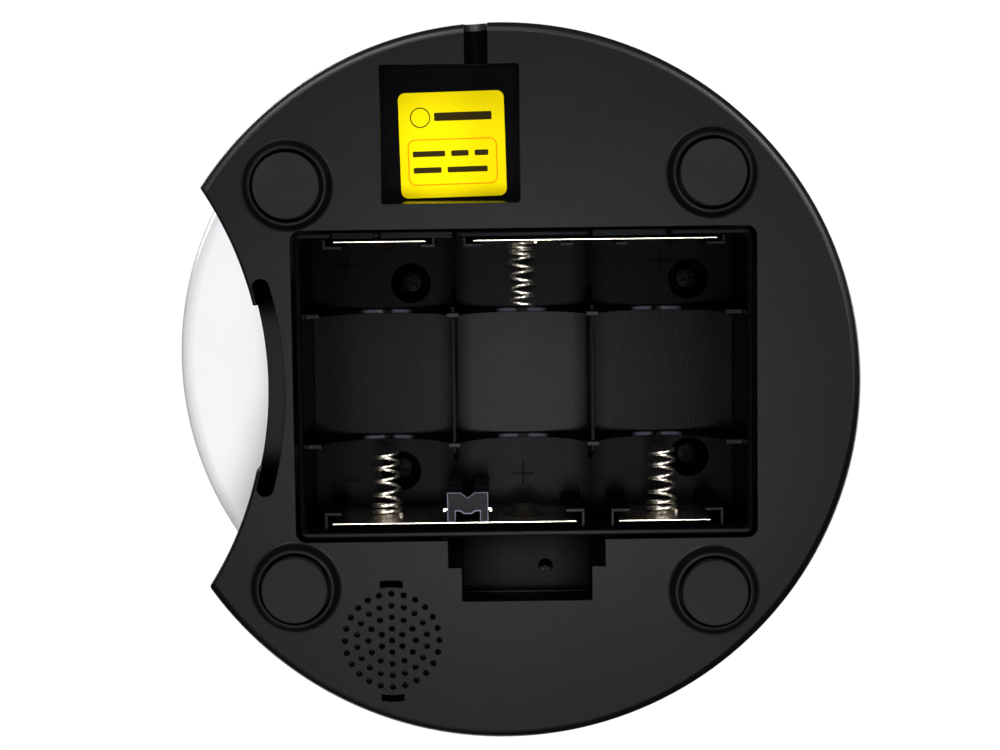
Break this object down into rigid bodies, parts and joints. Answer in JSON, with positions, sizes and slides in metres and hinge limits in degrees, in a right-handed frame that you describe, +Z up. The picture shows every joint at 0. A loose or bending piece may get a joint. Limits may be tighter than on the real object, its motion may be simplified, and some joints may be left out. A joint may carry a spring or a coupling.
{
  "type": "automatic pet feeder",
  "caption": "Round countertop pet feeder: dry food hopper with hinged lid, motor-driven dispensing rotor, front outlet over a bowl recess, and a battery bay and speaker grille underneath.",
  "frame": {"origin": "centre of the circle that the body is turned about, on the surface that the feet stand on", "axes": "+Z up along the body's main axis; the bowl recess and control panel face -Y; the power inlet is on the +X side"},
  "size_m": [0.1946, 0.1946, 0.303],
  "materials": {
    "black_plastic": "fine satin texture",
    "black_gloss": "polished",
    "rubber": "matte",
    "nickel": "nickel plated",
    "steel": "satin",
    "label": "printed film",
    "white_plastic": "semi-gloss",
    "smoke_plastic": "clear smoke tint",
    "gear_plastic": "natural acetal",
    "board": "solder mask",
    "glass": "dark tinted",
    "grey_rubber": "soft matte",
    "paper_cone": "pressed paper"
  },
  "bodies": {
    "root": {"base_cover": "black_plastic", "battery_box": "black_plastic", "foot_pad_front_left": "rubber", "foot_pad_front_right": "rubber", "foot_pad_rear_left": "rubber", "foot_pad_rear_right": "rubber", "contact_plate_positive": "nickel", "contact_plate_link_right": "nickel", "contact_plate_link_left": "nickel", "contact_plate_negative": "nickel", "contact_spring_1": "nickel", "contact_spring_2": "nickel", "contact_spring_3": "nickel", "base_screw_1": "steel", "base_screw_2": "steel", "base_screw_3": "steel", "base_screw_4": "steel", "supply_label": "label", "dc_jack": "black_gloss", "speaker_basket": "steel", "speaker_cone": "paper_cone", "lower_housing": "black_plastic", "food_chute": "black_plastic", "main_circuit_board": "board", "upper_housing": "white_plastic", "idler_axle": "steel", "gearbox_housing": "black_plastic", "gearbox_cover": "black_plastic", "gear_motor": "steel", "portion_baffle": "smoke_plastic", "hopper": "smoke_plastic", "hopper_collar": "white_plastic", "lid_hinge_pin": "steel", "control_fascia": "black_gloss", "display_window": "glass", "display_module": "black_plastic", "panel_board": "board", "microphone": "steel"},
    "lid": {"lid": "white_plastic", "lid_seal": "grey_rubber", "desiccant_holder": "white_plastic"},
    "catch": {"lid_catch": "grey_rubber"},
    "rotor": {"dispensing_rotor": "grey_rubber", "output_shaft": "steel", "output_gear": "gear_plastic"},
    "idler": {"idler_gear": "gear_plastic"},
    "pinion": {"motor_pinion": "gear_plastic"},
    "button_1": {"panel_button_1": "white_plastic"},
    "button_2": {"panel_button_2": "white_plastic"},
    "button_3": {"panel_button_3": "white_plastic"},
    "button_4": {"panel_button_4": "white_plastic"}
  },
  "joints": [
    {"name": "lid_hinge", "type": "hinge", "parent": "root", "child": "lid", "pos_m": [0, 0.0915, 0.2976], "axis": [-1, 0, 0], "range_deg": [0, 105]},
    {"name": "catch_slide", "type": "slide", "parent": "lid", "child": "catch", "axis": [0, 1, 0], "range_m": [0, 0.001], "stiffness_N_per_m": 300},
    {"name": "rotor_spin", "type": "hinge", "parent": "root", "child": "rotor", "pos_m": [0, 0, 0.11], "axis": [0, 0, 1], "continuous": true},
    {"name": "idler_spin", "type": "hinge", "parent": "root", "child": "idler", "pos_m": [0, 0.025, 0.079], "axis": [0, 0, 1], "continuous": true},
    {"name": "pinion_spin", "type": "hinge", "parent": "root", "child": "pinion", "pos_m": [0, 0.045, 0.0755], "axis": [0, 0, 1], "continuous": true},
    {"name": "button_1_press", "type": "slide", "parent": "root", "child": "button_1", "axis": [0, 1, 0], "range_m": [0, 0.0008], "stiffness_N_per_m": 500},
    {"name": "button_2_press", "type": "slide", "parent": "root", "child": "button_2", "axis": [0, 1, 0], "range_m": [0, 0.0008], "stiffness_N_per_m": 500},
    {"name": "button_3_press", "type": "slide", "parent": "root", "child": "button_3", "axis": [0, 1, 0], "range_m": [0, 0.0008], "stiffness_N_per_m": 500},
    {"name": "button_4_press", "type": "slide", "parent": "root", "child": "button_4", "axis": [0, 1, 0], "range_m": [0, 0.0008], "stiffness_N_per_m": 500}
  ],
  "couplings": [
    {"joint": "idler_spin", "follows": "rotor_spin", "ratio": -4},
    {"joint": "pinion_spin", "follows": "rotor_spin", "ratio": 16}
  ]
}
